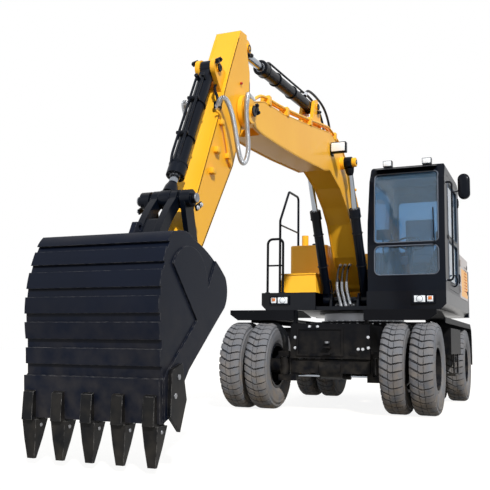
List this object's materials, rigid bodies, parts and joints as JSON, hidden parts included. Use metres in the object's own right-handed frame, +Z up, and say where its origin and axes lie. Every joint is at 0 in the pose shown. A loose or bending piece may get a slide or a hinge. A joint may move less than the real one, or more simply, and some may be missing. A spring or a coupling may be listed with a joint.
{
  "type": "wheeled excavator",
  "caption": "Wheeled excavator on twin tyres: slewing upper structure with side cab, rear counterweight, cranked boom, arm and toothed bucket on hydraulic cylinders.",
  "frame": {"origin": "on the ground, at the centre of the bounding box's footprint", "axes": "+X forward along the machine and its boom, +Y to the machine's left, +Z up"},
  "size_m": [8.8173, 2.83, 3.69],
  "materials": {
    "yellow_paint": "satin",
    "black_paint": "satin",
    "grey_paint": "satin",
    "sand_paint": "satin",
    "chrome": "polished",
    "worn_steel": "worn",
    "tyre_rubber": "dusty",
    "cab_glass": "clear",
    "seat_cloth": "matte",
    "console_plastic": "matte",
    "lamp_lens": "glossy"
  },
  "bodies": {
    "chassis": {"chassis_frame": "black_paint", "slew_ring": "black_paint", "mudguards": "black_paint", "side_boxes": "black_paint", "front_axle": "black_paint", "rear_axle": "black_paint", "drive_shafts": "black_paint"},
    "steering_rod": {"steering_rod": "chrome"},
    "knuckle_left": {"knuckle_left": "black_paint"},
    "knuckle_right": {"knuckle_right": "black_paint"},
    "wheel_front_left": {"tyres_front_left": "tyre_rubber", "rims_front_left": "black_paint"},
    "wheel_front_right": {"tyres_front_right": "tyre_rubber", "rims_front_right": "black_paint"},
    "wheel_rear_left": {"tyres_rear_left": "tyre_rubber", "rims_rear_left": "black_paint"},
    "wheel_rear_right": {"tyres_rear_right": "tyre_rubber", "rims_rear_right": "black_paint"},
    "upper": {"upper_frame": "grey_paint", "counterweight": "black_paint", "engine_block": "worn_steel", "engine_housing": "sand_paint", "fuel_tank": "yellow_paint", "tool_box": "yellow_paint", "handrails": "black_paint", "cab_shell": "black_paint", "cab_glass": "cab_glass", "seat": "seat_cloth", "cab_console": "console_plastic", "steering_wheel": "console_plastic", "cab_rail_mirror": "black_paint", "lamps": "lamp_lens"},
    "engine_hood": {"engine_hood": "yellow_paint"},
    "side_door_left": {"side_door_left": "sand_paint"},
    "side_door_right": {"side_door_right": "sand_paint"},
    "tool_box_lid": {"tool_box_lid": "yellow_paint"},
    "cab_door": {"cab_door": "black_paint", "cab_door_glass": "cab_glass"},
    "boom": {"boom": "yellow_paint"},
    "boom_cylinder_left": {"boom_cylinder_left": "black_paint"},
    "boom_cylinder_right": {"boom_cylinder_right": "black_paint"},
    "boom_rod_left": {"boom_rod_left": "chrome"},
    "boom_rod_right": {"boom_rod_right": "chrome"},
    "arm": {"arm": "yellow_paint"},
    "arm_cylinder": {"arm_cylinder": "black_paint"},
    "arm_rod": {"arm_rod": "chrome"},
    "rocker": {"rocker": "black_paint"},
    "bucket_link": {"bucket_link": "black_paint"},
    "bucket_cylinder": {"bucket_cylinder": "black_paint"},
    "bucket_rod": {"bucket_rod": "chrome"},
    "bucket": {"bucket": "black_paint", "bucket_teeth": "worn_steel"}
  },
  "joints": [
    {"name": "swing", "type": "hinge", "parent": "chassis", "child": "upper", "pos_m": [-2.155, -0.14, 1.22], "axis": [0, 0, 1], "continuous": true},
    {"name": "steer_left", "type": "hinge", "parent": "chassis", "child": "knuckle_left", "pos_m": [-0.515, 0.46, 0.528], "axis": [0, 0, 1], "range_deg": [-25, 25]},
    {"name": "steer_right", "type": "hinge", "parent": "chassis", "child": "knuckle_right", "pos_m": [-0.515, -0.74, 0.528], "axis": [0, 0, 1], "range_deg": [-25, 25]},
    {"name": "steer_rod_slide", "type": "slide", "parent": "chassis", "child": "steering_rod", "axis": [0, -1, 0], "range_m": [-0.07, 0.07]},
    {"name": "wheel_front_left_spin", "type": "hinge", "parent": "knuckle_left", "child": "wheel_front_left", "pos_m": [-0.515, 0.83, 0.528], "axis": [0, 1, 0], "continuous": true},
    {"name": "wheel_front_right_spin", "type": "hinge", "parent": "knuckle_right", "child": "wheel_front_right", "pos_m": [-0.515, -1.11, 0.528], "axis": [0, 1, 0], "continuous": true},
    {"name": "wheel_rear_left_spin", "type": "hinge", "parent": "chassis", "child": "wheel_rear_left", "pos_m": [-3.325, 0.83, 0.528], "axis": [0, 1, 0], "continuous": true},
    {"name": "wheel_rear_right_spin", "type": "hinge", "parent": "chassis", "child": "wheel_rear_right", "pos_m": [-3.325, -1.11, 0.528], "axis": [0, 1, 0], "continuous": true},
    {"name": "cab_door_hinge", "type": "hinge", "parent": "upper", "child": "cab_door", "pos_m": [-2.73, 1.118, 2.3], "axis": [0, 0, 1], "range_deg": [0, 95]},
    {"name": "side_door_left_hinge", "type": "hinge", "parent": "upper", "child": "side_door_left", "pos_m": [-2.898, 1.112, 1.81], "axis": [0, 0, -1], "range_deg": [0, 75]},
    {"name": "side_door_right_hinge", "type": "hinge", "parent": "upper", "child": "side_door_right", "pos_m": [-2.898, -1.392, 1.81], "axis": [0, 0, 1], "range_deg": [0, 75]},
    {"name": "engine_hood_hinge", "type": "hinge", "parent": "upper", "child": "engine_hood", "pos_m": [-2.967, -0.14, 2.142], "axis": [0, 1, 0], "range_deg": [0, 55]},
    {"name": "tool_box_lid_hinge", "type": "hinge", "parent": "upper", "child": "tool_box_lid", "pos_m": [-1.919, -0.885, 1.751], "axis": [0, -1, 0], "range_deg": [0, 60]},
    {"name": "boom_pivot", "type": "hinge", "parent": "upper", "child": "boom", "pos_m": [-2.135, -0.26, 1.7], "axis": [0, -1, 0], "range_deg": [-50, 45]},
    {"name": "boom_cylinder_left_pivot", "type": "hinge", "parent": "upper", "child": "boom_cylinder_left", "pos_m": [-1.655, 0.006, 1.4], "axis": [0, -1, 0], "range_deg": [-51, 46]},
    {"name": "boom_rod_left_slide", "type": "slide", "parent": "boom_cylinder_left", "child": "boom_rod_left", "axis": [0.4535, 0, 0.8912], "range_m": [-0.44, 0.39]},
    {"name": "boom_cylinder_right_pivot", "type": "hinge", "parent": "upper", "child": "boom_cylinder_right", "pos_m": [-1.655, -0.526, 1.4], "axis": [0, -1, 0], "range_deg": [-51, 46]},
    {"name": "boom_rod_right_slide", "type": "slide", "parent": "boom_cylinder_right", "child": "boom_rod_right", "axis": [0.4535, 0, 0.8912], "range_m": [-0.44, 0.39]},
    {"name": "arm_pivot", "type": "hinge", "parent": "boom", "child": "arm", "pos_m": [2.325, -0.26, 2.82], "axis": [0, 1, 0], "range_deg": [-34, 72]},
    {"name": "arm_cylinder_pivot", "type": "hinge", "parent": "boom", "child": "arm_cylinder", "pos_m": [-0.005, -0.26, 3.6], "axis": [0, -1, 0], "range_deg": [-2, 2]},
    {"name": "arm_rod_slide", "type": "slide", "parent": "arm_cylinder", "child": "arm_rod", "axis": [0.9986, 0, -0.0529], "range_m": [-0.36, 0.75]},
    {"name": "bucket_pivot", "type": "hinge", "parent": "arm", "child": "bucket", "pos_m": [3.519, -0.26, 1.093], "axis": [0, 1, 0], "range_deg": [-10, 135]},
    {"name": "rocker_pivot", "type": "hinge", "parent": "arm", "child": "rocker", "pos_m": [3.303, -0.26, 1.405], "axis": [0, 1, 0], "range_deg": [-9, 100]},
    {"name": "bucket_link_pivot", "type": "hinge", "parent": "bucket", "child": "bucket_link", "pos_m": [3.775, -0.26, 1.36], "axis": [0, -1, 0], "range_deg": [-8, 88]},
    {"name": "bucket_cylinder_pivot", "type": "hinge", "parent": "arm", "child": "bucket_cylinder", "pos_m": [2.805, -0.26, 3.065], "axis": [0, -1, 0], "range_deg": [-3, 3]},
    {"name": "bucket_rod_slide", "type": "slide", "parent": "bucket_cylinder", "child": "bucket_rod", "axis": [0.4589, 0, -0.8885], "range_m": [-0.06, 0.7]}
  ],
  "couplings": [
    {"joint": "steer_right", "follows": "steer_left", "ratio": 1},
    {"joint": "steer_rod_slide", "follows": "steer_left", "m_per_rad": 0.155},
    {"joint": "boom_cylinder_left_pivot", "follows": "boom_pivot", "ratio": 0.99},
    {"joint": "boom_cylinder_right_pivot", "follows": "boom_pivot", "ratio": 0.99},
    {"joint": "boom_rod_left_slide", "follows": "boom_pivot", "m_per_rad": 0.49},
    {"joint": "boom_rod_right_slide", "follows": "boom_pivot", "m_per_rad": 0.49},
    {"joint": "arm_cylinder_pivot", "follows": "arm_pivot", "ratio": -0.01},
    {"joint": "arm_rod_slide", "follows": "arm_pivot", "m_per_rad": 0.584},
    {"joint": "rocker_pivot", "follows": "bucket_pivot", "ratio": 0.715},
    {"joint": "bucket_link_pivot", "follows": "bucket_pivot", "ratio": 0.62},
    {"joint": "bucket_cylinder_pivot", "follows": "bucket_pivot", "ratio": 0.014},
    {"joint": "bucket_rod_slide", "follows": "bucket_pivot", "m_per_rad": 0.29}
  ]
}
